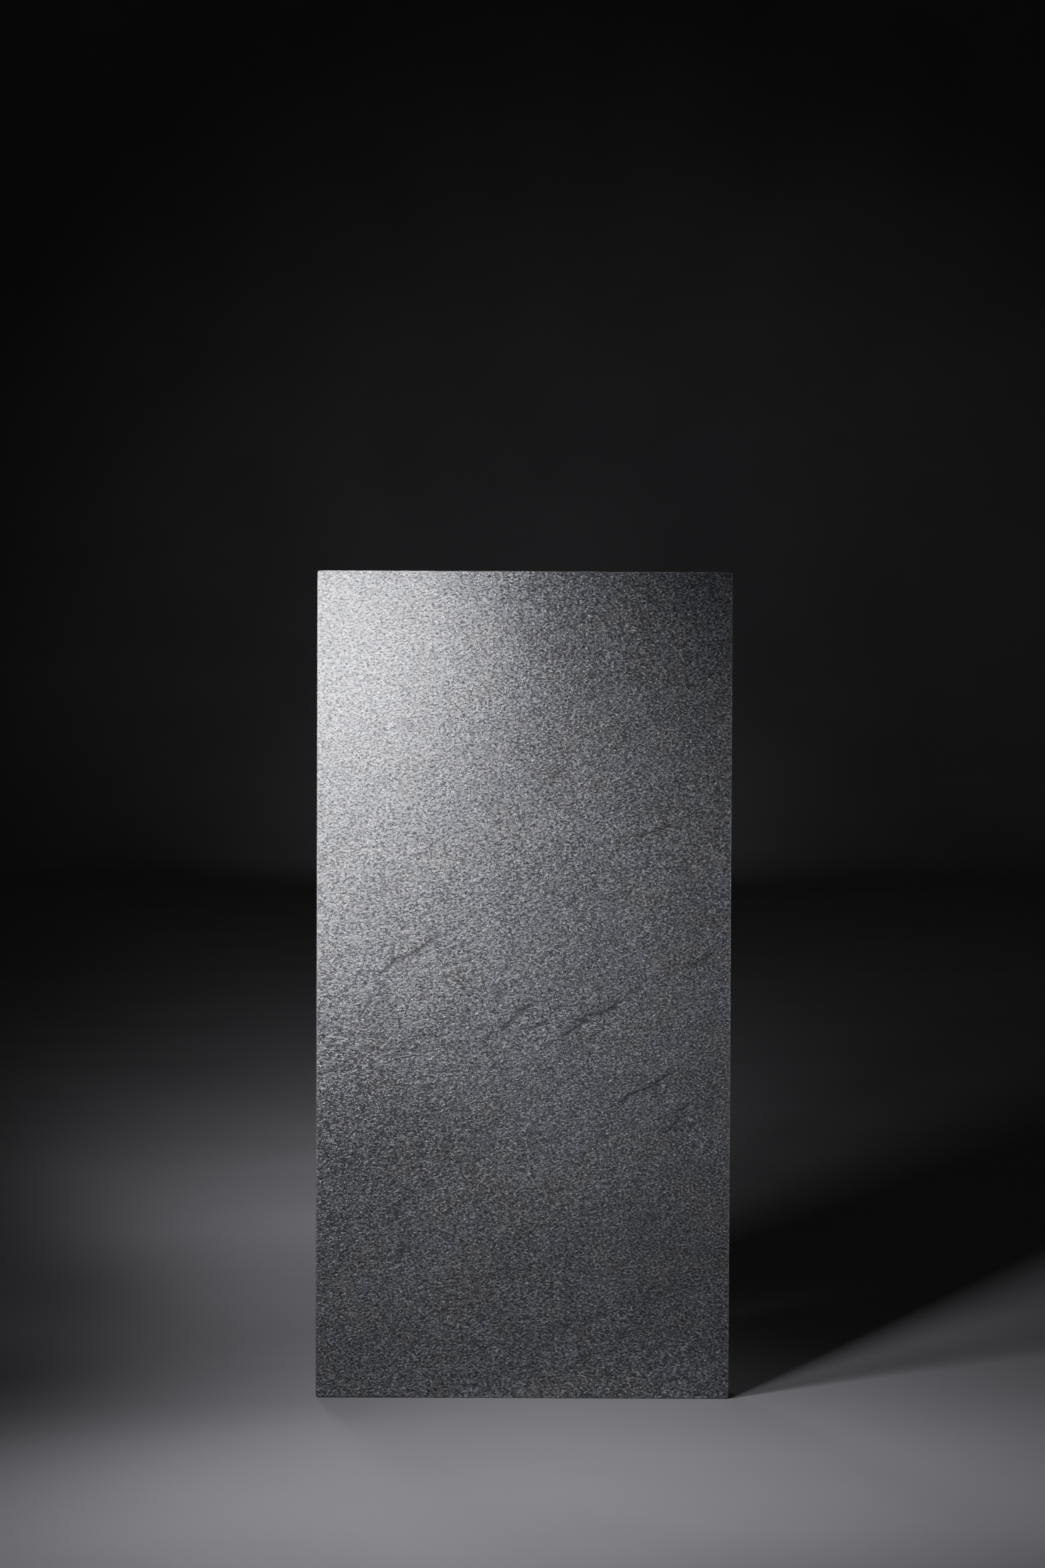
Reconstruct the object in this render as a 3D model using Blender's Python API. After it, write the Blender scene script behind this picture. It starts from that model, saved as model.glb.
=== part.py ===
"""Riven stone slab that stands upright on one of its short edges.

The slab is one block of dark, fine-grained stone. Its foot, top, two sides and back are sawn
flat. Its front is riven, which means split along the stone's own layers, and it keeps the low
swells and the thin broken ledges that splitting leaves behind.

Frame: the origin is at the middle of the foot. +X points to the right of someone who looks at
the riven face, +Y runs from the riven face through to the sawn back, and +Z is up. Metres.
"""

import math

import bmesh
import bpy
import numpy as np

# Driving sizes, in metres.
SLAB_WIDTH = 0.300        # between the two sawn sides
SLAB_HEIGHT = 0.600       # from the sawn foot to the sawn top
SLAB_THICKNESS = 0.030    # from the sawn back to the highest point of the riven face
CORNER_RADIUS = 0.0015    # the four corners of the face, knocked round by handling
ARRIS = 0.0008            # 45 degree wear along every long edge, front and back
SWELL_DEPTH = 0.0014      # from the top of the highest swell to the bottom of the lowest hollow
LEDGE_REACH = 0.030       # how far below a ledge its broken layer takes to thin out
LEDGE_TAPER = 0.010       # how far past its two ends a ledge takes to die away
FACE_PITCH = 0.010        # distance between the points that carry the riven face

CORNER_STEPS = 3          # flats around each rounded corner
FULLY_FRONT = 0.999       # share of the thickness past which a point counts as on the front
SAME_PLACE = 0.0001       # points closer than this to a plane count as on it
SHARP_ANGLE = 60.0        # degrees between two faces past which their edge is an arris

# Swells that cross the riven face: wavelength in metres, direction and phase in degrees, and
# strength. The strengths only count against each other, because SWELL_DEPTH sets the total.
SWELLS = (
    (0.520, 72.0, 20.0, 1.00),
    (0.240, 118.0, 150.0, 0.45),
    (0.135, 35.0, 265.0, 0.22),
    (0.080, 98.0, 80.0, 0.12),
)

# Ledges where a layer broke off: start (x, z), end (x, z) and drop, in metres. The layer is
# missing below the line from start to end.
LEDGES = (
    ((-0.103, 0.310), (-0.064, 0.336), 0.0006),
    ((0.030, 0.266), (0.068, 0.288), 0.0007),
    ((0.072, 0.217), (0.105, 0.236), 0.0008),
    ((0.103, 0.194), (0.119, 0.213), 0.0005),
    ((0.120, 0.316), (0.137, 0.324), 0.0005),
    ((0.083, 0.409), (0.107, 0.417), 0.0003),
)

STONE_COLOUR = (0.062, 0.065, 0.072, 1.0)
STONE_ROUGHNESS = 0.55


def clear_scene():
    """Remove whatever the file opened with."""
    for thing in list(bpy.data.objects):
        bpy.data.objects.remove(thing, do_unlink=True)


def stone_material():
    """Dark blue-grey stone with a satin, slightly oily sheen."""
    material = bpy.data.materials.new("riven_stone")
    material.use_nodes = True
    shader = material.node_tree.nodes["Principled BSDF"]
    shader.inputs["Base Color"].default_value = STONE_COLOUR
    shader.inputs["Roughness"].default_value = STONE_ROUGHNESS
    shader.inputs["Metallic"].default_value = 0.0
    material.diffuse_color = STONE_COLOUR
    return material


def swell_height(x, z):
    """Plane waves of SWELLS added together, one cosine for each row, in no particular unit."""
    height = np.zeros_like(x)
    for wavelength, direction, phase, strength in SWELLS:
        heading = math.radians(direction)
        along = x * math.cos(heading) + z * math.sin(heading)
        height += strength * np.cos(math.tau * along / wavelength + math.radians(phase))
    return height


def ledge_fall(x, z, start, end, drop):
    """Depth lost to one ledge.

    Just under the line from start to end it is the whole drop. Further down it shrinks as
    exp(-distance / LEDGE_REACH), and past either end as exp(-(distance / LEDGE_TAPER) ** 2).
    Above the line it is zero.
    """
    length = math.hypot(end[0] - start[0], end[1] - start[1])
    along_x = (end[0] - start[0]) / length
    along_z = (end[1] - start[1]) / length
    along = (x - start[0]) * along_x + (z - start[1]) * along_z
    below = (x - start[0]) * along_z - (z - start[1]) * along_x
    past_end = np.maximum(np.maximum(-along, along - length), 0.0)
    thinning = np.exp(-np.maximum(below, 0.0) / LEDGE_REACH)
    return drop * (below > 0.0) * thinning * np.exp(-((past_end / LEDGE_TAPER) ** 2))


def riven_fall(x, z):
    """Depth of the riven face behind the top of its highest swell, ledges included."""
    height = swell_height(x, z)
    fall = SWELL_DEPTH * (height.max() - height) / (height.max() - height.min())
    for start, end, drop in LEDGES:
        fall += ledge_fall(x, z, start, end, drop)
    return fall


def slab_blank(bm):
    """A sawn block whose front is a grid of faces and whose back is one face."""
    columns = round(SLAB_WIDTH / FACE_PITCH)
    rows = round(SLAB_HEIGHT / FACE_PITCH)
    bmesh.ops.create_grid(bm, x_segments=columns, y_segments=rows, size=0.5)
    for vert in bm.verts:
        across, up = vert.co.x, vert.co.y
        vert.co = (across * SLAB_WIDTH, -SLAB_THICKNESS / 2, (up + 0.5) * SLAB_HEIGHT)
    rim = [edge for edge in bm.edges if edge.is_boundary]
    walls = bmesh.ops.extrude_edge_only(bm, edges=rim)["geom"]
    back_verts = [item for item in walls if isinstance(item, bmesh.types.BMVert)]
    back_edges = [item for item in walls if isinstance(item, bmesh.types.BMEdge) and item.is_boundary]
    bmesh.ops.translate(bm, verts=back_verts, vec=(0.0, SLAB_THICKNESS, 0.0))
    bmesh.ops.contextual_create(bm, geom=back_edges)
    bmesh.ops.recalc_face_normals(bm, faces=bm.faces[:])


def round_corners(bm):
    """Round the four sawn edges that run through the slab from front to back."""
    through = []
    for edge in bm.edges:
        near, far = edge.verts[0].co, edge.verts[1].co
        from_side = SLAB_WIDTH / 2 - abs(near.x)
        from_end = min(near.z, SLAB_HEIGHT - near.z)
        if abs(near.y - far.y) > SAME_PLACE and max(from_side, from_end) < SAME_PLACE:
            through.append(edge)
    bmesh.ops.bevel(bm, geom=through, offset=CORNER_RADIUS, segments=CORNER_STEPS, profile=0.5,
                    affect="EDGES", clamp_overlap=True)


def wear_arrises(bm):
    """Take the sharpness off the edges all round the front and all round the back."""
    outline = [edge for edge in bm.edges if edge.calc_face_angle() > math.radians(SHARP_ANGLE)]
    bmesh.ops.bevel(bm, geom=outline, offset=ARRIS, segments=1, affect="EDGES", clamp_overlap=True)


def split_front(bm):
    """Push the front back to the riven shape.

    A point moves by the riven fall times its distance from the back over the thickness, so the
    sawn back stays flat, the sides stay in their planes and the front arris keeps its size. The
    fall is counted from the highest point of the front, which keeps the full thickness.
    """
    places = np.array([vert.co for vert in bm.verts])
    from_back = (SLAB_THICKNESS / 2 - places[:, 1]) / SLAB_THICKNESS
    fall = riven_fall(places[:, 0], places[:, 2])
    fall -= fall[from_back > FULLY_FRONT].min()
    for vert, shift in zip(bm.verts, fall * from_back):
        vert.co.y += shift


def make_slab():
    """The slab as one closed solid, ready to stand on its foot."""
    bm = bmesh.new()
    slab_blank(bm)
    round_corners(bm)
    wear_arrises(bm)
    split_front(bm)
    bmesh.ops.triangulate(bm, faces=bm.faces[:])
    mesh = bpy.data.meshes.new("stone_slab")
    bm.to_mesh(mesh)
    bm.free()
    mesh.materials.append(stone_material())
    slab = bpy.data.objects.new("stone_slab", mesh)
    bpy.context.scene.collection.objects.link(slab)
    return slab


clear_scene()
make_slab()
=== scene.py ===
# %% [markdown]
# # A riven stone slab
# One block of dark, fine-grained stone stands on its short edge. Its face was split along the
# stone's own layers, which leaves a fine satin grain, low swells and a few thin broken ledges.
# Its back and its four edges were sawn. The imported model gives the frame: the origin is at the
# middle of the foot, +Y runs from the riven face to the sawn back and +Z is up, in metres.

# %% The frame and its box
import math

import bpy
import numpy as np
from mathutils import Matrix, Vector


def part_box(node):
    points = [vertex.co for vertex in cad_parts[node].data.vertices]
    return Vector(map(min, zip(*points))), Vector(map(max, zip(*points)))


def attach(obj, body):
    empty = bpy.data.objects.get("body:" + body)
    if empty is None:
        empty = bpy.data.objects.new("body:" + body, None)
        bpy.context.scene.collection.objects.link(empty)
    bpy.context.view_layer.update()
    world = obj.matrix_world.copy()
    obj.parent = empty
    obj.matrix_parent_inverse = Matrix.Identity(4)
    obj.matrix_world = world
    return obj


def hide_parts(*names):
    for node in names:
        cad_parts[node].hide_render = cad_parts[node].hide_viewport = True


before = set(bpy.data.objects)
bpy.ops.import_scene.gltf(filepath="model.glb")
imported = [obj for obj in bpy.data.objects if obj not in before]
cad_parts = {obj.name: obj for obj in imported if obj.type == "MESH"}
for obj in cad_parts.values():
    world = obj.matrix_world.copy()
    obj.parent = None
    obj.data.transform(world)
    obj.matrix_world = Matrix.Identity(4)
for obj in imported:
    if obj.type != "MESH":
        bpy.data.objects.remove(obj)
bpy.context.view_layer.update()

low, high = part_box("stone_slab")
WIDTH = high.x - low.x
HEIGHT = high.z - low.z
THICKNESS = high.y - low.y
FACE_Y = low.y
BACK_Y = high.y
MM = 0.001
print(f"slab {WIDTH / MM:.0f} x {HEIGHT / MM:.0f} x {THICKNESS / MM:.0f} mm")

# %% [markdown]
# ## The shape of the riven face
# Splitting leaves relief of very different sizes, so the face is a sum of simple functions of
# (x, z), each of which gives how far the surface has fallen behind its highest point. The broad
# swells repeat the solid model's. A displaced image could give all of it at once, but a sum of
# functions has no resolution of its own, and each part of it can be tuned by itself.

# %% Broad swells
SWELL_DEPTH = 1.4 * MM
SWELLS = (                      # wavelength in metres, direction and phase in degrees, strength
    (0.520, 72.0, 20.0, 1.00),
    (0.240, 118.0, 150.0, 0.45),
    (0.135, 35.0, 265.0, 0.22),
    (0.080, 98.0, 80.0, 0.12),
)


def swell_height(x, z):
    """Add one cosine for each row of SWELLS, along its own direction."""
    height = np.zeros_like(x)
    for wavelength, direction, phase, strength in SWELLS:
        heading = math.radians(direction)
        along = x * math.cos(heading) + z * math.sin(heading)
        height += strength * np.cos(math.tau * along / wavelength + math.radians(phase))
    return height


def swell_fall(x, z):
    """Count the swells down from the highest and scale them to SWELL_DEPTH."""
    height = swell_height(x, z)
    return SWELL_DEPTH * (height.max() - height) / (height.max() - height.min())


print(f"{len(SWELLS)} swells, {SWELL_DEPTH / MM:.1f} mm deep together")

# %% [markdown]
# ## Flakes
# Between the swells and the grain lie flakes from 4 to 45 mm across. A flake is longer across
# the slab than up it, because the stone split from side to side. Many weak waves in random
# directions add up to such a surface, if each one is given the same steepness.

# %% Flakes
FLAKE_STRETCH = 1.6             # how much longer a flake is across than up
FLAKE_SLOPE = 0.024             # steepness of all the waves together, root mean square
FLAKE_WAVES = 220
FLAKE_SHORTEST = 4 * MM
FLAKE_LONGEST = 45 * MM


def flake_fall(x, z, seed=11):
    """Add plane waves whose amplitude is their steepness over their wave number.

    The wave numbers are spread evenly in octaves, and x is shrunk by FLAKE_STRETCH first.
    """
    rng = np.random.default_rng(seed)
    octave = rng.uniform(math.log(FLAKE_SHORTEST), math.log(FLAKE_LONGEST), FLAKE_WAVES)
    number = math.tau / np.exp(octave)
    heading = rng.uniform(0.0, math.pi, FLAKE_WAVES)
    phase = rng.uniform(0.0, math.tau, FLAKE_WAVES)
    amplitude = FLAKE_SLOPE * math.sqrt(2.0 / FLAKE_WAVES) / number
    fall = np.zeros_like(x)
    for k, h, p, a in zip(number, heading, phase, amplitude):
        fall += a * np.cos(k * (x / FLAKE_STRETCH * math.cos(h) + z * math.sin(h)) + p)
    return fall


print(f"{FLAKE_WAVES} waves for the flakes, "
      f"{FLAKE_SHORTEST / MM:.0f} to {FLAKE_LONGEST / MM:.0f} mm long")

# %% [markdown]
# ## Ledges
# Where a thin layer broke off, the face steps down along a ragged line and then climbs back as
# the next layer thins out. Sculpting could draw such a line by hand, but a distance from a line
# of points gives the same step every time and keeps both lips sharp. A ledge is a drop and a line
# of points (x, z), all in millimetres from the middle of the foot. The surface falls on the
# right-hand side of someone who walks along the line, and rises there if the drop is negative.

# %% Ledges
LEDGE_REACH = 26 * MM           # how far from the step its layer takes to thin out
LEDGE_TAPER = 4 * MM            # how far past its ends a step takes to die away
RAGGED = 0.20 * MM              # strength of one of the waves that make a step's line uneven
SHADE_WIDE = 0.4 * MM            # how far to each side of a step its painted shade reaches
SHADE_PAST = 1.5 * MM            # how far past a step's ends its painted shade reaches
LEDGES = (
    (0.40, (-103, 310), (-97, 313), (-94, 319), (-86, 321), (-79, 324), (-71, 330), (-64, 336)),
    (0.20, (-94, 319), (-95.5, 328)),
    (0.20, (-103, 298), (-101, 301)),
    (0.20, (-90, 333), (-84, 337)),
    (0.35, (-5, 281), (5, 286)),
    (0.28, (-15, 270), (-11, 273), (-6, 278)),
    (0.25, (-26, 263), (-22, 266)),
    (-0.25, (-2, 271), (2, 277), (5, 280), (10, 282)),
    (0.40, (30, 266), (36, 268), (41, 272), (46, 274)),
    (0.45, (39, 275), (47, 279), (54, 280), (61, 282), (68, 288)),
    (0.25, (7, 270), (12, 272), (16.5, 275)),
    (0.55, (72, 217), (77, 221), (82, 223), (90, 226), (98, 231), (105, 236)),
    (0.35, (112, 210), (119, 213)),
    (0.40, (103, 194), (107, 196), (110, 200), (114, 205)),
    (0.22, (111, 194), (114, 197)),
    (0.35, (120.5, 316), (129, 319), (137, 324)),
    (0.18, (20, 451), (29, 457)),
    (0.18, (83, 409), (94, 412), (106.5, 417)),
)
PITS = (                        # middle (x, z), half width and depth, in millimetres
    (-65, 541, 1.8, 0.25),
    (94, 237, 1.6, 0.35),
    (118, 249, 2.0, 0.30),
)


def ragged(x, z):
    """A shift of up to half a millimetre: three waves each way, 3 to 9 mm long."""
    shift_x = (np.sin(math.tau * (z / 0.0089 + 0.13)) + np.sin(math.tau * (z / 0.0047 + x / 0.011))
               + 0.7 * np.sin(math.tau * (z / 0.0031 - x / 0.0063)))
    shift_z = (np.sin(math.tau * (x / 0.0083 + 0.41)) + np.sin(math.tau * (x / 0.0051 - z / 0.012))
               + 0.7 * np.sin(math.tau * (x / 0.0033 + z / 0.0071)))
    return RAGGED * shift_x, RAGGED * shift_z


def nearest_on_line(x, z, line):
    """For each point: the nearest place on the line (x and z), the side and the overshoot.

    Side is the distance, positive on the right-hand side, and overshoot is how far the point
    lies past either end. The points are shifted by ragged() first, which breaks the line up.
    """
    shift_x, shift_z = ragged(x, z)
    x, z = x + shift_x, z + shift_z
    best = np.full(x.shape, np.inf)
    foot_x, foot_z, side, over = (np.zeros_like(x) for _ in range(4))
    for place, (start, end) in enumerate(zip(line[:-1], line[1:])):
        start, end = np.array(start) * MM, np.array(end) * MM
        length = math.dist(start, end)
        run_x, run_z = (end - start) / length
        along = (x - start[0]) * run_x + (z - start[1]) * run_z
        right = (x - start[0]) * run_z - (z - start[1]) * run_x
        kept = np.clip(along, 0.0, length)
        gap = np.hypot(along - kept, right)
        past = np.zeros_like(x)
        if place == 0:
            past = np.maximum(past, -along)
        if place == len(line) - 2:
            past = np.maximum(past, along - length)
        closer = gap < best
        best = np.where(closer, gap, best)
        foot_x = np.where(closer, start[0] + kept * run_x, foot_x)
        foot_z = np.where(closer, start[1] + kept * run_z, foot_z)
        side = np.where(closer, np.copysign(gap, right), side)
        over = np.where(closer, past, over)
    return foot_x, foot_z, side, over


def ledge_fall(x, z, drop, line):
    """The drop on the right of the line, times exp(-side / reach), times a bell past the ends."""
    _, _, side, over = nearest_on_line(x, z, line)
    thinning = np.exp(-np.maximum(side, 0.0) / LEDGE_REACH)
    return drop * MM * (side > 0.0) * thinning * np.exp(-((over / LEDGE_TAPER) ** 2))


def painted_ledge_shade(x, z, line):
    """Painted shade: one in a step's corner, falling as a bell to each side and past both ends."""
    _, _, side, over = nearest_on_line(x, z, line)
    return np.exp(-((side / SHADE_WIDE) ** 2)) * np.exp(-((over / SHADE_PAST) ** 2))


highest = max(drop for drop, *_ in LEDGES)
print(f"{len(LEDGES)} ledges up to {highest:.2f} mm high, and {len(PITS)} pits")

# %% [markdown]
# ## Scars
# All over the face there are short scars, where a chip smaller than a fingernail came away. They
# are too many to place by hand, so seeded random numbers place them, closer together across the
# middle of the slab, where the ledges are.

# %% Scars
SCARS = 110
SCAR_REACH = 3 * MM             # how far from a scar's step the face takes to climb back
SCAR_TAPER = 1.2 * MM           # how far past its ends a scar takes to die away
SCARS_ACROSS = (-0.145, 0.145)  # the scars keep 5 mm clear of the outline, in metres
SCARS_UP = (0.005, 0.595)
CROWD_SHARE = 0.45              # share of the scars that gather round the ledges
CROWD_HEIGHT, CROWD_SPREAD = 0.255, 0.05
SCAR_TURN, SCAR_TURN_SPREAD = 25.0, 14.0    # degrees up from the level
SCAR_LENGTHS = (1.0, 4.0)       # millimetres
SCAR_DROPS = (0.05, 0.16)       # millimetres


def scar_lines(seed=5):
    """Start, end and drop of every scar, in the same form as LEDGES."""
    rng = np.random.default_rng(seed)
    middle = np.stack((rng.uniform(*SCARS_ACROSS, SCARS), rng.uniform(*SCARS_UP, SCARS)), axis=1)
    crowd = rng.uniform(size=SCARS) < CROWD_SHARE
    middle[crowd, 1] = rng.normal(CROWD_HEIGHT, CROWD_SPREAD, crowd.sum())
    heading = np.radians(rng.normal(SCAR_TURN, SCAR_TURN_SPREAD, SCARS))
    half = rng.uniform(*SCAR_LENGTHS, SCARS)[:, None] * MM / 2
    run = np.stack((np.cos(heading), np.sin(heading)), axis=1) * half
    drops = rng.uniform(*SCAR_DROPS, SCARS)
    return [(drop, tuple(start), tuple(end))
            for drop, start, end in zip(drops, (middle - run) / MM, (middle + run) / MM)]


def scar_fall(x, z, drop, start, end):
    """As a ledge, but reaching only SCAR_REACH, and worked out only where it can be felt."""
    felt = 5 * SCAR_REACH
    near = (np.abs(x - start[0] * MM) < felt) & (np.abs(z - start[1] * MM) < felt)
    fall = np.zeros_like(x)
    _, _, side, over = nearest_on_line(x[near], z[near], (start, end))
    fall[near] = drop * MM * (side > 0.0) * np.exp(
        -np.maximum(side, 0.0) / SCAR_REACH - (over / SCAR_TAPER) ** 2)
    return fall


print(f"{len(scar_lines())} scars, {SCAR_LENGTHS[0]:.0f} to {SCAR_LENGTHS[1]:.0f} mm long")

# %% [markdown]
# ## The grid of the face
# The face is one grid in x and z. Its cells shrink towards the border, where the worn arris
# needs them, and close in on each ledge from both sides, so that a step a few tenths of a
# millimetre high has points on its upper and its lower lip. Subdividing the whole face finely
# enough for that would take many times as many points.

# %% Grid of the face
COLUMNS, ROWS = 192, 384
CORNER_RADIUS = 1.5 * MM
END_CELL = 0.25                 # size of the outermost cell, as a share of a cell in the middle
END_CELLS = 2.2                 # how many cells from the border the shrinking is felt
LEDGE_PULL = 3.2 * MM           # points nearer to a ledge than this move towards it
PULL_POWER = 0.8                # how strongly they move
PULL_TAPER = 2 * MM             # how far past a ledge's ends the pull takes to die away
LEAST_SHARE = 1e-4              # keeps a point that lies on the ledge from a distance of zero


def spaced(count, length):
    """Add up cells that shrink exponentially towards both ends, and scale them to the length."""
    place = np.arange(count)
    from_end = np.minimum(place, count - 1 - place)
    cells = 1.0 - (1.0 - END_CELL) * np.exp(-from_end / END_CELLS)
    marks = np.concatenate(([0.0], np.cumsum(cells)))
    return marks * length / marks[-1]


def round_off(x, z):
    """Turn the square of one radius in each corner into a quarter disc.

    The offset from the centre of the arc is scaled by its larger part over its length.
    """
    dx = np.abs(x) - (WIDTH / 2 - CORNER_RADIUS)
    dz = np.abs(z - HEIGHT / 2) - (HEIGHT / 2 - CORNER_RADIUS)
    in_corner = (dx > 0.0) & (dz > 0.0)
    scale = np.where(in_corner, np.maximum(dx, dz) / np.maximum(np.hypot(dx, dz), 1e-9), 1.0)
    new_x = np.where(in_corner, np.sign(x) * (WIDTH / 2 - CORNER_RADIUS + dx * scale), x)
    up = np.sign(z - HEIGHT / 2)
    new_z = np.where(in_corner, HEIGHT / 2 + up * (HEIGHT / 2 - CORNER_RADIUS + dz * scale), z)
    return new_x, new_z


def pull_to_ledges(x, z):
    """Multiply each near point's distance from a ledge by a power of that distance over LEDGE_PULL.

    The pull is full along the ledge and weaker past its ends, as a bell PULL_TAPER wide.
    """
    for _, *line in LEDGES:
        shift_x, shift_z = ragged(x, z)
        foot_x, foot_z, side, over = nearest_on_line(x, z, line)
        share = np.clip(np.abs(side) / LEDGE_PULL, LEAST_SHARE, 1.0)
        hold = np.exp(-((over / PULL_TAPER) ** 2))
        scale = 1.0 - hold * (1.0 - share ** PULL_POWER)
        x = x + (scale - 1.0) * (x + shift_x - foot_x)
        z = z + (scale - 1.0) * (z + shift_z - foot_z)
    return x, z


grid_x, grid_z = np.meshgrid(
    spaced(COLUMNS, WIDTH) - WIDTH / 2, spaced(ROWS, HEIGHT), indexing="ij")
print(f"face grid {grid_x.shape[0]} x {grid_x.shape[1]} points, "
      f"widest cell {np.diff(grid_x[:, 0]).max() / MM:.2f} mm")

# %% [markdown]
# ## The worn arris
# An arris is the sharp edge where two faces of stone meet. Handling takes small bites out of
# it. The wear is a function of the place along each side: a thin even bevel, a slow wander and
# a scatter of short chips. It sets how far the face's border draws in and how deep the bevel
# cuts. A Bevel modifier would give every arris the same width, so it couldn't show this wear.

# %% Worn arris
WEAR = 0.45 * MM
WEAR_WANDER = 0.15 * MM
WANDER_WAVES = (0.11, 0.043, 0.017)         # metres
CHIP_PITCH = 14 * MM            # one chip on each stretch of arris this long, on average
CHIP_HALF = (0.7, 2.2)          # half the length of a chip, in millimetres
CHIP_DEEPEST = 0.9 * MM
WEAR_REACH = 6 * MM             # how far into the face the drawn-in border is felt


def wear_along(place, length, seed, bites=()):
    """Even wear, three slow waves, and a bell for every chip.

    Most chips are shallow, because a chip's depth is CHIP_DEEPEST times the square of a random
    share. Bites are chips whose middle, half length and depth are given, in millimetres.
    """
    rng = np.random.default_rng(seed)
    wear = np.full(place.shape, WEAR)
    for wavelength in WANDER_WAVES:
        wear += WEAR_WANDER / 2 * np.cos(math.tau * (place / wavelength + rng.uniform()))
    chips = [(rng.uniform(0.0, length), rng.uniform(*CHIP_HALF) * MM,
              CHIP_DEEPEST * rng.uniform() ** 2)
             for _ in range(round(length / CHIP_PITCH))]
    chips += [(middle * MM, half * MM, deep * MM) for middle, half, deep in bites]
    for middle, half, deep in chips:
        wear += deep * np.exp(-(((place - middle) / half) ** 2))
    return wear


LEFT_BITES = ((0, 3, 1.2), (372, 2.0, 0.5), (596, 2.5, 0.5))
RIGHT_BITES = ((0, 2, 0.5), (318, 1.5, 0.5), (571, 3.0, 0.6), (594, 4.5, 0.9))
FOOT_BITES = ((-150, 10, 0.5), (-125, 28, 0.9), (-92, 12, 0.4), (148, 9, 0.5))
TOP_BITES = ((-149, 3, 0.6), (-36, 5, 0.3), (60, 9, 0.35), (147, 4, 0.7))


def draw_in(x, z):
    """Move points in from each side by its wear, less by exp(-distance / WEAR_REACH)."""
    from_left, from_right = WIDTH / 2 + x, WIDTH / 2 - x
    from_foot, from_top = z, HEIGHT - z
    left = wear_along(z, HEIGHT, 21, LEFT_BITES) * np.exp(-from_left / WEAR_REACH)
    right = wear_along(z, HEIGHT, 22, RIGHT_BITES) * np.exp(-from_right / WEAR_REACH)
    foot = wear_along(x, WIDTH, 23, FOOT_BITES) * np.exp(-from_foot / WEAR_REACH)
    top = wear_along(x, WIDTH, 24, TOP_BITES) * np.exp(-from_top / WEAR_REACH)
    return x + left - right, z + foot - top


outline_x, outline_z = round_off(grid_x, grid_z)
face_x, face_z = draw_in(outline_x, outline_z)
face_x, face_z = pull_to_ledges(face_x, face_z)
drawn_in = np.hypot(face_x - outline_x, face_z - outline_z)[0].max()
print(f"left arris draws in by {drawn_in / MM:.2f} mm at most")

# %% [markdown]
# ## All the relief together
# The real face has every kind of relief at once, each on top of the others. The falls are simply
# added, point by point, and the sum is counted from its highest point, so that the slab keeps its
# full thickness there.

# %% Relief of the riven face
face_fall = swell_fall(face_x, face_z) + flake_fall(face_x, face_z)
for drop, *line in LEDGES:
    face_fall += ledge_fall(face_x, face_z, drop, line)
for drop, start, end in scar_lines():
    face_fall += scar_fall(face_x, face_z, drop, start, end)
for pit_x, pit_z, pit_wide, pit_deep in PITS:
    apart = np.hypot(face_x - pit_x * MM, face_z - pit_z * MM)
    face_fall += pit_deep * MM * np.exp(-((apart / (pit_wide * MM)) ** 2))
face_fall -= face_fall.min()
print(f"riven face falls {face_fall.max() / MM:.2f} mm at most, "
      f"{face_fall.mean() / MM:.2f} mm on average")

# %% [markdown]
# ## The closed slab
# The border of the grid is carried round and back as a belt of rings: three for the front
# arris, a few for the sawn edge, three for the back arris. The back is a coarser grid, because
# it is flat, and its outermost cells take all the points of the last ring, so the slab is one
# closed skin.

# %% Rings of the belt
BACK_WEAR = 0.5 * MM
BACK_STEP = 8                   # one column or row of the back for every 8 of the face
FRONT_ARRIS = ((0.55, 0.14), (0.18, 0.50), (0.0, 1.0))     # share of wear left, share of depth
EDGE_STEPS = (0.12, 0.30, 0.50, 0.70, 0.88)
BACK_ARRIS = ((0.0, 1.0), (0.35, 0.35), (1.0, 0.0))        # share of inset, share of depth


def border(table):
    """The values on the rim of a grid, once round: foot, right side, top, left side."""
    return np.concatenate((table[:-1, 0], table[-1, :-1], table[:0:-1, -1], table[0, :0:-1]))


rim_x, rim_z = border(outline_x), border(outline_z)
inner_x, inner_z = border(face_x), border(face_z)
rim_fall = border(face_fall)
rim_wear = np.hypot(rim_x - inner_x, rim_z - inner_z)
rim_front = FACE_Y + rim_fall + rim_wear
rim_back = np.full_like(rim_x, BACK_Y - BACK_WEAR)

belt = []
for left_over, depth in FRONT_ARRIS:
    belt.append((rim_x + left_over * (inner_x - rim_x), FACE_Y + rim_fall + depth * rim_wear,
                 rim_z + left_over * (inner_z - rim_z)))
for share in EDGE_STEPS:
    belt.append((rim_x, rim_front + share * (rim_back - rim_front), rim_z))
for inset, depth in BACK_ARRIS:
    shrink_x = rim_x * (1.0 - inset * BACK_WEAR / (WIDTH / 2))
    shrink_z = HEIGHT / 2 + (rim_z - HEIGHT / 2) * (1.0 - inset * BACK_WEAR / (HEIGHT / 2))
    belt.append((shrink_x, np.full_like(rim_x, BACK_Y - depth * BACK_WEAR), shrink_z))
belt_points = np.stack([np.stack(ring, axis=1) for ring in belt])
print(f"belt of {belt_points.shape[0]} rings, {belt_points.shape[1]} points round")

# %% [markdown]
# ## One skin from three nets
# Stone has no seams, so face, belt and back have to share their points where they meet. Separate
# meshes could be merged by distance, but then a chip smaller than that distance would close up.
# Instead every point gets its number first, and the faces of each net are slices of the table of
# numbers: a point, its neighbour along, the one across from that, and its neighbour up.

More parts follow.
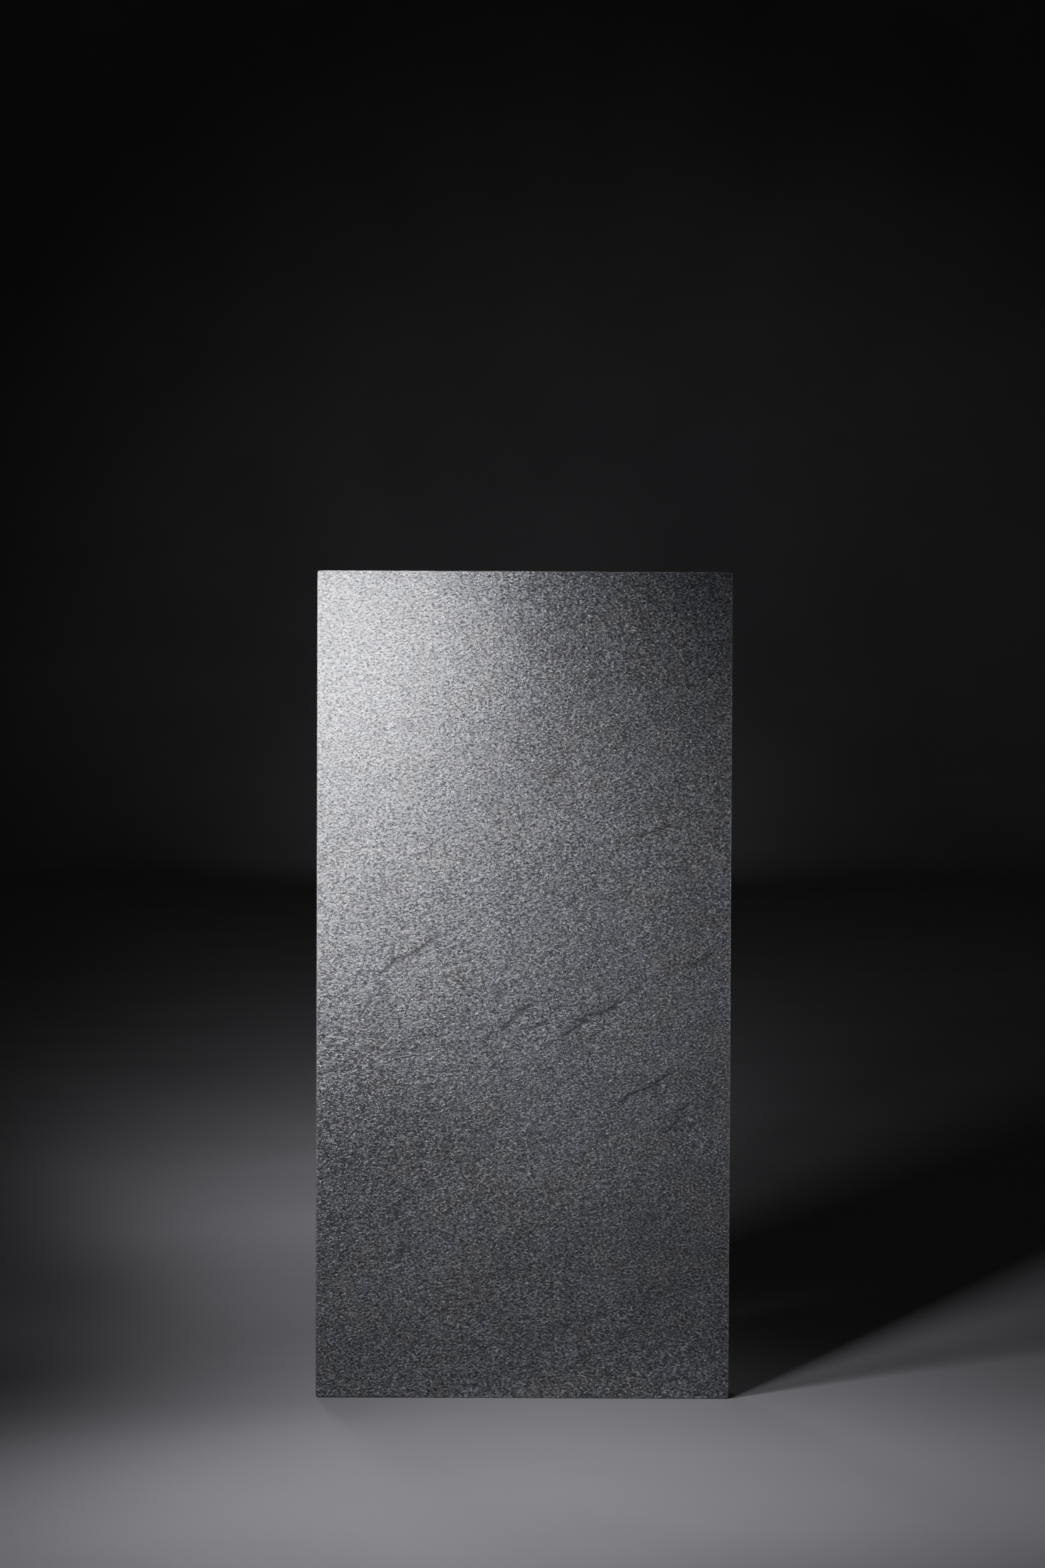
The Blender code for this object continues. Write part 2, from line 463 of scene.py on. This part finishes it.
# %% Skin of the slab
face_points = np.stack((face_x, FACE_Y + face_fall, face_z), axis=2).reshape(-1, 3)
face_index = np.arange(len(face_points)).reshape(face_x.shape)
face_quads = np.stack((face_index[:-1, :-1], face_index[1:, :-1],
                       face_index[1:, 1:], face_index[:-1, 1:]), axis=2).reshape(-1, 4)

rim_count = rim_x.size
first_on_back = len(face_points) + len(belt) * rim_count
ring_index = np.arange(len(face_points), first_on_back).reshape(-1, rim_count)
rings = np.vstack((border(face_index), ring_index))
rings_on = np.roll(rings, -1, axis=1)
belt_quads = np.stack((rings[:-1], rings[1:], rings_on[1:], rings_on[:-1]), axis=2).reshape(-1, 4)

inside = slice(BACK_STEP, -1, BACK_STEP)
coarse_x, coarse_z = np.meshgrid(grid_x[inside, 0], grid_z[0, inside], indexing="ij")
coarse_points = np.stack(
    (coarse_x, np.full_like(coarse_x, BACK_Y), coarse_z), axis=2).reshape(-1, 3)
back_index = np.full(face_x.shape, -1)
back_index[inside, inside] = (first_on_back + np.arange(coarse_x.size)).reshape(coarse_x.shape)
back_index[:-1, 0] = rings[-1, :COLUMNS]
back_index[-1, :-1] = rings[-1, COLUMNS:COLUMNS + ROWS]
back_index[:0:-1, -1] = rings[-1, COLUMNS + ROWS:2 * COLUMNS + ROWS]
back_index[0, :0:-1] = rings[-1, 2 * COLUMNS + ROWS:]


def back_cell(column, row):
    """Walk once round a coarse cell and keep every point that exists on its border."""
    cell = back_index[column:column + BACK_STEP + 1, row:row + BACK_STEP + 1]
    walk = border(cell)
    return walk[walk >= 0][::-1].tolist()


back_cells = [back_cell(column, row)
              for column in range(0, COLUMNS, BACK_STEP) for row in range(0, ROWS, BACK_STEP)]
points = np.concatenate((face_points, belt_points.reshape(-1, 3), coarse_points))
mesh = bpy.data.meshes.new("slab_stone")
mesh.from_pydata(points.tolist(), [], face_quads.tolist() + belt_quads.tolist() + back_cells)
mesh.validate()
slab = bpy.data.objects.new("slab_stone", mesh)
bpy.context.scene.collection.objects.link(slab)
triangles = sum(len(face.vertices) - 2 for face in mesh.polygons)
print(f"slab: {len(mesh.vertices)} points, {triangles} triangles")

# %% [markdown]
# ## Shading
# Light rolls softly over the riven face and breaks at the arrises. The faces are shaded smooth,
# and an edge is marked sharp where two faces meet at a steep angle. A modifier could do the same,
# but a mark that is part of the mesh goes wherever the mesh goes.

# %% Smooth faces and crisp edges
CRISP = math.radians(38)
mesh.shade_smooth()
mesh.set_sharp_from_angle(angle=CRISP)
print(f"edges of more than {math.degrees(CRISP):.0f} degrees stay crisp")

# %% [markdown]
# ## Marks for the finish
# The finish isn't the same everywhere: the face is riven, the edges and back are sawn, shade is
# painted dark into the corners of the ledges, and the worn arris is rubbed pale. Each of these is
# written on the points of the mesh as a number from 0 to 1, which the material reads. The fourth
# mark multiplies the stone's colour: the face is paler towards its foot and darker in two soft
# clouds. Painting by hand would do as well, but a formula can be tuned and repeated.

# %% Marks on the riven face
FOOT_PALER = 0.90               # how much paler the stone is at the very foot
FOOT_REACH = 45 * MM            # how far up the paler foot takes to fade
RUB_REACH = 0.6 * MM            # how far in from the outline the face is rubbed pale
CLOUDS = (                      # middle (x, z) and half sizes in millimetres, share of colour lost
    (-125, 190, 85, 75, 0.50),
    (-130, 290, 60, 60, 0.25),
)
# Painted shade: a dark mark along the corner of every ledge, where its step shades the face.
ledge_shade = np.zeros_like(face_x)
for _, *line in LEDGES:
    ledge_shade = np.maximum(ledge_shade, painted_ledge_shade(face_x, face_z, line))
from_rim = np.minimum(np.minimum(WIDTH / 2 - np.abs(face_x), face_z), HEIGHT - face_z)
face_worn = np.exp(-from_rim / RUB_REACH)

# The face is paler towards its foot and darker in two soft clouds.
foot_and_clouds = 1.0 + FOOT_PALER * np.exp(-face_z / FOOT_REACH)
for cloud_x, cloud_z, cloud_wide, cloud_high, depth in CLOUDS:
    foot_and_clouds -= depth * np.exp(-(((face_x - cloud_x * MM) / (cloud_wide * MM)) ** 2)
                           - ((face_z - cloud_z * MM) / (cloud_high * MM)) ** 2)
print(f"dust mark runs from {foot_and_clouds.min():.2f} to {foot_and_clouds.max():.2f}")

# %% Marks on the belt and the back
RIVEN_RINGS = (1.0, 0.8, 0.35)              # the riven look fades across the front arris
WORN_FRONT_RINGS = (1.0, 1.0, 0.7, 0.1)     # the front arris and the first ring of the edge
WORN_BACK_RINGS = (0.5, 1.0, 0.3)           # the back arris
ring_riven, ring_worn = np.zeros(len(belt)), np.zeros(len(belt))
ring_riven[:len(RIVEN_RINGS)] = RIVEN_RINGS
ring_worn[:len(WORN_FRONT_RINGS)] = WORN_FRONT_RINGS
ring_worn[-len(WORN_BACK_RINGS):] = WORN_BACK_RINGS

MARKS = {                       # on the points of the face, on each ring, on the back
    "riven": (np.ones(len(face_points)), ring_riven, 0.0),
    "worn": (face_worn.ravel(), ring_worn, 0.0),
    "ledge_shade": (ledge_shade.ravel(), np.zeros(len(belt)), 0.0),
    "foot_and_clouds": (foot_and_clouds.ravel(), np.ones(len(belt)), 1.0),
}
for name, (on_face, on_ring, on_back) in MARKS.items():
    values = np.concatenate((on_face, np.repeat(on_ring, rim_count),
                             np.full(len(coarse_points), on_back)))
    mark = mesh.attributes.new(name, "FLOAT", "POINT")
    mark.data.foreach_set("value", values.astype(np.float32))
    print(f"mark {name}: mean {values.mean():.3f}")

# %% [markdown]
# ## The stone
# The stone is a dark blue-grey with faint olive clouds, and so fine that its grains only show as
# a glitter of flakes 1 to 3 mm long. Its look comes from four things together: a low albedo, a
# gloss that changes from flake to flake, a bump of a few tenths of a millimetre, and dull pits
# between the flakes. All four are noises read from the object's own coordinates in metres, so
# the grain keeps its size on any side. The small helpers below keep the node code short.

# %% Node helpers
def node(kind, inputs=None, **settings):
    """Add a node to the current tree, set its properties, and set or link its inputs."""
    made = tree.nodes.new(kind)
    for name, value in settings.items():
        setattr(made, name, value)
    for name, value in (inputs or {}).items():
        if isinstance(value, bpy.types.NodeSocket):
            tree.links.new(value, made.inputs[name])
        else:
            made.inputs[name].default_value = value
    return made


def maths(operation, first, second):
    """One Math node; gives its output."""
    return node("ShaderNodeMath", {0: first, 1: second}, operation=operation).outputs[0]


def spread(value, from_low, from_high, to_low, to_high, smooth=False):
    """Map one range of numbers to another and hold the ends."""
    made = node("ShaderNodeMapRange", {"Value": value, "From Min": from_low, "From Max": from_high,
                                       "To Min": to_low, "To Max": to_high},
                interpolation_type="SMOOTHSTEP" if smooth else "LINEAR")
    return made.outputs["Result"]


def noise(place, scale, detail=2.0, rough=0.5):
    """Noise whose features are about one over the scale across, in metres."""
    made = node("ShaderNodeTexNoise", {"Vector": place, "Scale": scale, "Detail": detail,
                                       "Roughness": rough})
    return made.outputs["Fac"]


def mix(factor, first, second, blend="MIX"):
    """Mix two colours."""
    made = node("ShaderNodeMix", {0: factor, 6: first, 7: second},
                data_type="RGBA", blend_type=blend)
    return made.outputs[2]


def grey(value):
    """A neutral colour of one value."""
    return (value, value, value, 1.0)


def tinted(colour, value, dark, pale):
    """Multiply a colour by a number that runs from dark to pale as the value runs from 0 to 1."""
    return mix(1.0, colour, mix(value, grey(dark), grey(pale)), "MULTIPLY")


def marked(name, output="Fac"):
    """A mark written on the mesh."""
    return node("ShaderNodeAttribute", attribute_name=name).outputs[output]


stone = bpy.data.materials.new("riven_stone_finish")
stone.use_nodes = True
tree = stone.node_tree
shader = tree.nodes["Principled BSDF"]
place = node("ShaderNodeTexCoord").outputs["Object"]
riven, worn, ledge_shade_mark = marked("riven"), marked("worn"), marked("ledge_shade")
sawn_share = maths("SUBTRACT", 1.0, riven)
print(f"finish {stone.name} reads the marks {', '.join(MARKS)}")

# %% [markdown]
# ## Relief too fine for the mesh
# On the real stone the split runs from flake to flake, so the fine relief is broken rather than
# wavy. A fractal noise does that: each octave is half the size of the one before and almost as
# steep. Flat terraces add the small steps between flakes, and pits are cut out of both where a
# third noise passes a threshold. A fourth noise passes its own threshold only rarely, and cuts the
# few deeper holes that show as dark specks in the highlight. The mesh would need millions of faces
# for this, so it is a bump.

# %% Grain of the riven face
FLAKE_BUMP, FLAKE_SCALE = 0.64 * MM, 430.0      # height, and features for each metre
STEP_BUMP, STEP_SCALE = 0.20 * MM, 330.0
STEP_COUNT, STEP_SOFTNESS = 9.0, 0.28
PIT_BUMP, PIT_SCALE, PIT_EDGE = 0.20 * MM, 760.0, (0.545, 0.575)
HOLE_BUMP, HOLE_SCALE, HOLE_EDGE = 0.45 * MM, 620.0, (0.61, 0.65)
GRAIN_TURN = math.radians(13)   # the grain climbs a little to the right


def terraces(height, steps, softness):
    """Turn a smooth height into flats with a short slope between one flat and the next."""
    stepped = maths("MULTIPLY", height, steps)
    rest = maths("FRACT", stepped, 0.0)
    slope = spread(rest, 0.5 - softness, 0.5 + softness, 0.0, 1.0, smooth=True)
    return maths("DIVIDE", maths("ADD", maths("SUBTRACT", stepped, rest), slope), steps)


grain_place = node("ShaderNodeMapping", {"Vector": place, "Rotation": (0.0, GRAIN_TURN, 0.0),
                                         "Scale": (1 / FLAKE_STRETCH, 1.0, 1.0)}).outputs[0]
flakes = noise(grain_place, FLAKE_SCALE, detail=3.0, rough=0.76)
steps = terraces(noise(grain_place, STEP_SCALE, rough=0.6), STEP_COUNT, STEP_SOFTNESS)
pit = spread(noise(grain_place, PIT_SCALE, rough=0.65), *PIT_EDGE, 0.0, 1.0, smooth=True)
riven_bump = maths("ADD", maths("MULTIPLY", flakes, FLAKE_BUMP),
                   maths("MULTIPLY", steps, STEP_BUMP))
riven_bump = maths("SUBTRACT", riven_bump, maths("MULTIPLY", pit, PIT_BUMP))
hole = spread(noise(grain_place, HOLE_SCALE, detail=1.0, rough=0.6), *HOLE_EDGE, 0.0, 1.0,
              smooth=True)
riven_bump = maths("SUBTRACT", riven_bump, maths("MULTIPLY", hole, HOLE_BUMP))
print(f"bump of the riven face: {FLAKE_BUMP / MM:.2f} mm of flakes, "
      f"{STEP_BUMP / MM:.2f} mm of steps, {PIT_BUMP / MM:.2f} mm of pits and "
      f"{HOLE_BUMP / MM:.2f} mm of holes")

# %% [markdown]
# ## Sawn back and edges
# A saw leaves an even, matt surface in which the grain shows as a fine speckle, crossed by faint
# marks a few millimetres apart where the blade moved on. The marks are a noise drawn out along
# the cut, and they're kept much weaker than the speckle, because strong ones would look like
# brushed metal.

# %% Saw marks
SAW_BUMP, SAW_SCALES = 0.05 * MM, (5.0, 60.0, 130.0)    # height, and marks for each metre
TOOTH_BUMP, TOOTH_SCALE = 0.06 * MM, 800.0
GRIT_SCALE = 1500.0             # grains too small for the bump, for the colour and the gloss
tooth = noise(grain_place, TOOTH_SCALE, rough=0.7)
grit = noise(grain_place, GRIT_SCALE, detail=1.0, rough=0.6)
saw_place = node("ShaderNodeMapping", {"Vector": place, "Scale": SAW_SCALES}).outputs[0]
saw_marks = noise(saw_place, 1.0)
sawn_bump = maths("ADD", maths("MULTIPLY", saw_marks, SAW_BUMP),
                  maths("MULTIPLY", tooth, TOOTH_BUMP))
bump_height = maths("ADD", maths("MULTIPLY", riven_bump, riven),
                    maths("MULTIPLY", sawn_bump, sawn_share))
bump = node("ShaderNodeBump", {"Height": bump_height, "Strength": 1.0, "Distance": 1.0})
tree.links.new(bump.outputs[0], shader.inputs["Normal"])
print(f"bump of the sawn faces: {SAW_BUMP / MM:.2f} mm of saw marks, "
      f"{TOOTH_BUMP / MM:.2f} mm of grain")

# %% [markdown]
# ## Colour
# The colour is built up in layers: two greys in soft patches, then pale and dark grains, then pits
# and holes darkened with painted shade. The sawn faces are paler, because a saw bruises the
# surface.
# The worn arris is rubbed paler still, and the corners of the ledges are painted almost black as
# shade. An even grey would have the right tone from far away, but the grains are what makes it read
# as stone.

# %% Colour of the riven face
BLUE_GREY = (0.0430, 0.0445, 0.0485, 1.0)
OLIVE_GREY = (0.0455, 0.0460, 0.0445, 1.0)
# Painted shade: the colour is darkened in the pits and holes, where shade falls in them.
PIT_SHADE_GREY, PIT_PAINTED_SHADE, HOLE_PAINTED_SHADE = grey(0.012), 0.30, 0.25
PATCH_SCALE, CLOUD_SCALE = 38.0, 14.0       # patches and clouds for each metre
clouds = spread(noise(place, CLOUD_SCALE, detail=3.0, rough=0.55), 0.3, 0.7, 0.0, 1.0)
tint = spread(noise(place, PATCH_SCALE, detail=3.0, rough=0.6), 0.42, 0.62, 0.0, 1.0, smooth=True)
grains = maths("POWER", spread(tooth, 0.36, 0.68, 0.0, 1.0), 1.6)
body = mix(tint, BLUE_GREY, OLIVE_GREY)
body = tinted(body, grains, dark=0.42, pale=2.7)
body = tinted(body, spread(grit, 0.35, 0.65, 0.0, 1.0), dark=0.5, pale=1.6)
body = mix(maths("MULTIPLY", pit, PIT_PAINTED_SHADE), body, PIT_SHADE_GREY)
body = mix(maths("MULTIPLY", hole, HOLE_PAINTED_SHADE), body, PIT_SHADE_GREY)
body = tinted(body, clouds, dark=0.88, pale=1.12)
body = mix(1.0, body, marked("foot_and_clouds", "Color"), "MULTIPLY")
print(f"riven greys {BLUE_GREY[:3]} and {OLIVE_GREY[:3]}")

# %% Colour of the sawn faces, the wear and the painted shade of the ledges
SAWN_GREY = (0.066, 0.067, 0.069, 1.0)
WORN_GREY, WORN_SHARE = grey(0.16), 0.45
# Painted shade: the corners of the ledges are painted almost black.
LEDGE_SHADE_GREY, LEDGE_SHADE_SHARE = grey(0.012), 0.90
sawn = tinted(SAWN_GREY, spread(saw_marks, 0.3, 0.7, 0.0, 1.0), dark=0.92, pale=1.10)
sawn = tinted(sawn, grains, dark=0.70, pale=2.2)
sawn = tinted(sawn, clouds, dark=0.80, pale=1.20)
body = mix(riven, sawn, body)
body = mix(maths("MULTIPLY", worn, WORN_SHARE), body, WORN_GREY)
body = mix(maths("MULTIPLY", ledge_shade_mark, LEDGE_SHADE_SHARE), body, LEDGE_SHADE_GREY)
tree.links.new(body, shader.inputs["Base Color"])
print(f"sawn grey {SAWN_GREY[:3]}, worn {WORN_GREY[0]}, dirt {LEDGE_SHADE_GREY[0]}")

# %% [markdown]
# ## Gloss
# A fresh cleft in such stone glints like satin where a flake faces the light and is dull where a
# flake is missing. So the roughness swings widely over a millimetre or two, and that swing, more
# than the colour, makes the grain visible in the highlight. The sawn faces have one even,
# rather dull roughness.

# %% Roughness
SHEEN_SCALE = 720.0
DULL_FLAKE, BRIGHT_FLAKE = 0.56, 0.12
SAWN_ROUGH = 0.55
PIT_DULLER, LEDGE_SHADE_DULLER = 0.5, 0.3          # added to the roughness in pits and holes, and in the painted shade of the ledges
sheen = spread(noise(grain_place, SHEEN_SCALE, rough=0.7), 0.40, 0.60, DULL_FLAKE, BRIGHT_FLAKE)
gloss = maths("ADD", sheen, maths("MULTIPLY", pit, PIT_DULLER))
gloss = maths("ADD", gloss, maths("MULTIPLY", hole, PIT_DULLER))
gloss = maths("ADD", gloss, spread(grit, 0.35, 0.65, 0.08, -0.05))
rough = maths("ADD", maths("MULTIPLY", gloss, riven), maths("MULTIPLY", sawn_share, SAWN_ROUGH))
rough = maths("ADD", rough, maths("MULTIPLY", ledge_shade_mark, LEDGE_SHADE_DULLER))
tree.links.new(rough, shader.inputs["Roughness"])
shader.inputs["Specular IOR Level"].default_value = 0.5
shader.inputs["Metallic"].default_value = 0.0
mesh.materials.append(stone)
print(f"roughness {BRIGHT_FLAKE} on a bright flake, {DULL_FLAKE} on a dull one and "
      f"{SAWN_ROUGH} on the sawn faces")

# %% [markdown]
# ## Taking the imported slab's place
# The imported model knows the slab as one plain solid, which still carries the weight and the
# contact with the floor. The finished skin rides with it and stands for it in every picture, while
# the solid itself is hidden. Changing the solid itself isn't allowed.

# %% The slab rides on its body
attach(slab, "root")
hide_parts("stone_slab")
print(f"{slab.name} stands for stone_slab, with {len(tree.nodes)} nodes in its finish")

# %% [markdown]
# ## Floor and cove
# The slab stands on a plain pale floor that bends up into a wall all round it, as in a studio
# cove, so that no horizon shows. One profile, turned round the upright axis, gives the floor, the
# bend and the wall. It is wide enough for a camera anywhere round the slab. A flat plane would be
# simpler, but its far edge would show behind the slab as a line.

# %% Floor and cove
FLAT_REACH = 8.0                # the flat part, from the middle
BEND_RADIUS = 2.0
WALL_TOP = 5.5
FLAT_RINGS, BEND_POINTS, TURN_STEPS = 11, 17, 96
INNER_RADIUS = 0.1              # of the ring round the middle, which one face fills


def cove_profile():
    """Radii and heights: a straight floor, a quarter circle of BEND_RADIUS, a straight wall."""
    bend = np.linspace(0.0, math.pi / 2, BEND_POINTS)
    radius = np.concatenate((np.linspace(INNER_RADIUS, FLAT_REACH, FLAT_RINGS + 1)[:-1],
                             FLAT_REACH + BEND_RADIUS * np.sin(bend), [FLAT_REACH + BEND_RADIUS]))
    height = np.concatenate((np.zeros(FLAT_RINGS), BEND_RADIUS * (1.0 - np.cos(bend)), [WALL_TOP]))
    return radius, height


profile_r, profile_z = cove_profile()
turn = np.arange(TURN_STEPS) * math.tau / TURN_STEPS
cove_points = np.stack((profile_r[:, None] * np.cos(turn), profile_r[:, None] * np.sin(turn),
                        np.repeat(profile_z[:, None], TURN_STEPS, axis=1)), axis=2).reshape(-1, 3)
index = np.arange(len(cove_points)).reshape(-1, TURN_STEPS)
index_on = np.roll(index, -1, axis=1)
cove_quads = np.stack((index[:-1], index[1:], index_on[1:], index_on[:-1]), axis=2).reshape(-1, 4)
floor_mesh = bpy.data.meshes.new("floor")
floor_mesh.from_pydata(cove_points.tolist(), [], cove_quads.tolist() + [index[0].tolist()])
floor_mesh.shade_smooth()
floor = bpy.data.objects.new("floor", floor_mesh)
bpy.context.scene.collection.objects.link(floor)
print(f"cove {2 * profile_r[-1]:.1f} m wide and {WALL_TOP:.1f} m high")

# %% [markdown]
# ## Floor finish
# Painted studio boards are matt and very nearly even. One grey would look printed, so two close
# greys run into each other in clouds about a third of a metre wide. The helpers work on whichever
# tree is current, so the same ones serve here.

# %% Floor finish
FLOOR_GREYS = ((0.343, 0.340, 0.344, 1.0), (0.383, 0.379, 0.384, 1.0))
FLOOR_ROUGH = 0.7
FLOOR_CLOUD_SCALE = 3.0
pale = bpy.data.materials.new("pale_floor")
pale.use_nodes = True
tree = pale.node_tree
floor_shader = tree.nodes["Principled BSDF"]
floor_cloud = noise(node("ShaderNodeTexCoord").outputs["Object"], FLOOR_CLOUD_SCALE, detail=3.0)
floor_tone = mix(spread(floor_cloud, 0.3, 0.7, 0.0, 1.0), *FLOOR_GREYS)
tree.links.new(floor_tone, floor_shader.inputs["Base Color"])
floor_shader.inputs["Roughness"].default_value = FLOOR_ROUGH
floor_shader.inputs["Specular IOR Level"].default_value = 0.3
floor_mesh.materials.append(pale)
print(f"floor greys {FLOOR_GREYS[0][0]} to {FLOOR_GREYS[1][0]}")

# %% [markdown]
# ## Light
# The studio is dim. A soft key stands close to the slab on the left and rakes across the face,
# which brings out every flake and leaves the right-hand side dark. One lamp can't be bright near
# its own corner of the slab and still reach the far one, so the key is made of several heads, one
# behind the other on the line along which the slab's shadow falls. Every lamp has a grid, which
# keeps its light off the rest of the room. Weak lamps behind and beside the slab show its other
# sides.

# %% Dim room
ROOM_LIGHT = (0.0175, 0.0175, 0.0177, 1.0)
world = bpy.data.worlds.new("dark_studio")
world.use_nodes = True
background = world.node_tree.nodes["Background"]
background.inputs["Color"].default_value = ROOM_LIGHT
background.inputs["Strength"].default_value = 1.0
bpy.context.scene.world = world
print(f"room light {ROOM_LIGHT[:3]}")

# %% A lamp with a grid
LAMP_TONE = (0.967, 0.962, 1.050)           # a little bluer than white


def soft_light(name, place, aim, wide, tall, watts, grid_angle):
    """A rectangular lamp with a grid, turned so that its -Z axis points at the aim."""
    data = bpy.data.lights.new(name, "AREA")
    data.shape = "RECTANGLE"
    data.size, data.size_y = wide, tall
    data.energy = watts
    data.spread = math.radians(grid_angle)
    data.color = LAMP_TONE
    lamp = bpy.data.objects.new(name, data)
    bpy.context.scene.collection.objects.link(lamp)
    lamp.location = place
    lamp.rotation_euler = (Vector(aim) - Vector(place)).to_track_quat("-Z", "Y").to_euler()
    lamp.visible_camera = False


print(f"lamp tone {LAMP_TONE}")

# %% [markdown]
# ## Placing the lamps
# The heads of the key differ in their distance, their aim and the angle of their grid, so each
# lights its own part of the face. The lamp called over lights the floor in front, back and right
# show the sawn faces, and glow gives the wall behind the slab a soft light.

# %% Lamps
KEY_HEADS = (                  # distance in front, height, grid angle, where it aims (x, z), watts
    (0.6, 0.56, 25.0, (-0.162, 0.560), 0.660),
    (0.6, 0.56, 50.0, (-0.242, 0.393), 0.162),
    (0.6, 0.56, 50.0, (0.000, 0.350), 0.317),
    (0.8, 0.56, 25.0, (-0.242, 0.393), 0.680),
    (0.8, 0.68, 36.0, (-0.190, 0.560), 0.930),
    (1.1, 0.56, 50.0, (0.000, 0.350), 0.620),
    (1.5, 0.56, 25.0, (-0.150, 0.300), 0.457),
)
SHADOW_SLOPE = 0.567            # how far the key's line runs to the left for each metre in front
HEAD_SHARE = 0.2                # width of a head over its distance from the slab
for number, (front, up, grid, (aim_x, aim_z), watts) in enumerate(KEY_HEADS):
    aside = WIDTH / 2 - SHADOW_SLOPE * (front + FACE_Y)
    size = HEAD_SHARE * math.hypot(aside, front)
    soft_light(f"key_{number}", (aside, -front, up), (aim_x, FACE_Y, aim_z), size, size,
               watts, grid)

OTHER_LAMPS = (                # name, place, aim, width, height, watts, grid angle
    ("over", (-1.0, -1.0, 1.3), (0.04, -0.36, 0.0), 0.3, 0.3, 0.92, 32.0),
    ("back", (-0.35, 1.1, 0.36), (0.0, BACK_Y, 0.31), 0.3, 0.5, 0.35, 25.0),
    ("right", (1.5, 0.40, 0.36), (WIDTH / 2, 0.0, 0.32), 0.2, 0.4, 0.25, 18.0),
    ("glow", (0.0, 5.6, 1.8), (0.0, 8.2, 0.15), 0.5, 0.5, 0.25, 34.0),
)
for lamp in OTHER_LAMPS:
    soft_light(*lamp)
print(f"{len(KEY_HEADS)} heads in the key, {sum(head[-1] for head in KEY_HEADS):.1f} W together, "
      f"and {len(OTHER_LAMPS)} other lamps")

# %% [markdown]
# ## Camera
# The camera looks straight at the face from a little above its middle, through a long lens, so
# the slab's sides hide behind its front and its outline stays almost a true rectangle.

# %% Camera
LENS, SENSOR = 85.0, 36.0       # millimetres
CAMERA_PLACE = (-0.0015, -2.6914, 0.510)
TILT_DOWN, ROLL = math.radians(1.366), math.radians(-0.207)
data = bpy.data.cameras.new("camera")
data.lens = LENS
data.sensor_width = SENSOR
camera = bpy.data.objects.new("camera", data)
camera.location = CAMERA_PLACE
camera.rotation_euler = (math.radians(90) - TILT_DOWN, ROLL, 0.0)
bpy.context.scene.collection.objects.link(camera)
bpy.context.scene.camera = camera
camera_reach = math.hypot(CAMERA_PLACE[1] - FACE_Y, CAMERA_PLACE[2] - HEIGHT / 2)
print(f"camera {camera_reach:.2f} m from the middle of the face")
